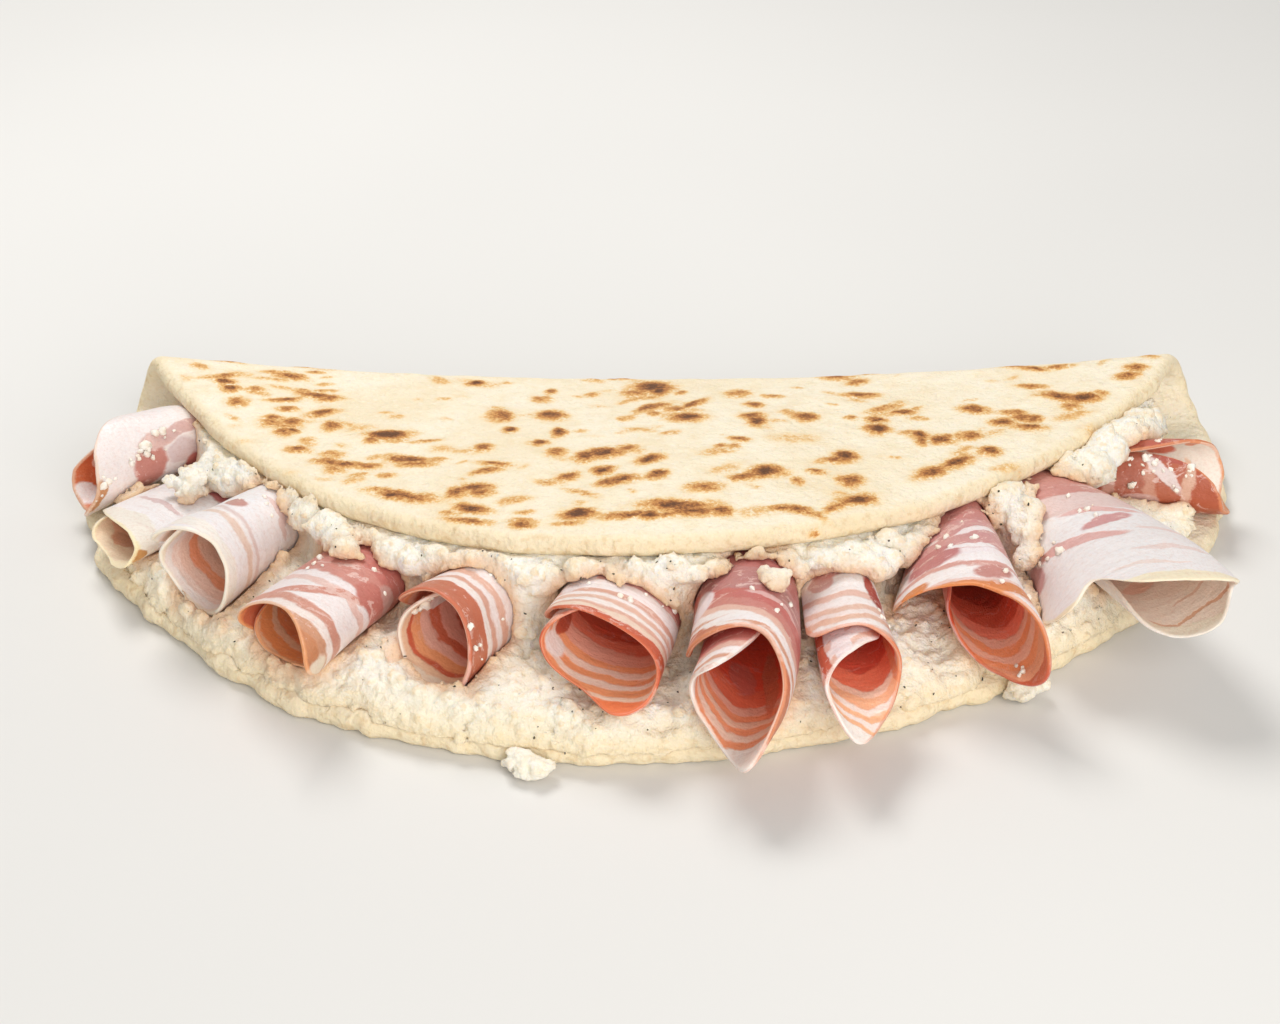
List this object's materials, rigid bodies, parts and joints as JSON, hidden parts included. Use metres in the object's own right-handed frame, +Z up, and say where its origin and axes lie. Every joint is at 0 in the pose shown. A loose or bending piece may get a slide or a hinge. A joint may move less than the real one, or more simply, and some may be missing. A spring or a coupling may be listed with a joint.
{
  "type": "piadina",
  "caption": "Folded round flatbread filled with crumbly ricotta and rolled slices of marbled cured pork, whose mouths fan out along the open front.",
  "frame": {"origin": "under the middle of the whole, on the surface it rests on", "axes": "+Z up, +X along the fold to the right as seen from the open front, +Y from the open front to the fold"},
  "size_m": [0.2809, 0.1694, 0.0343],
  "materials": {
    "bread": "dry griddled flatbread, matt, cream with toasted brown spots",
    "ricotta": "moist crumbly fresh cheese, off-white, with dark pepper specks",
    "cured_slice": "slightly greasy cured pork, pink lean and white fat bands"
  },
  "bodies": {
    "root": {"bread": "bread", "ricotta": "ricotta", "ricotta_lump_1": "ricotta", "ricotta_lump_2": "ricotta", "ricotta_lump_3": "ricotta", "ricotta_lump_4": "ricotta", "roll_01": "cured_slice", "roll_02": "cured_slice", "roll_03": "cured_slice", "roll_04": "cured_slice", "roll_05": "cured_slice", "roll_06": "cured_slice", "roll_07": "cured_slice", "roll_08": "cured_slice", "roll_09": "cured_slice", "roll_10": "cured_slice", "roll_11": "cured_slice"}
  },
  "joints": []
}
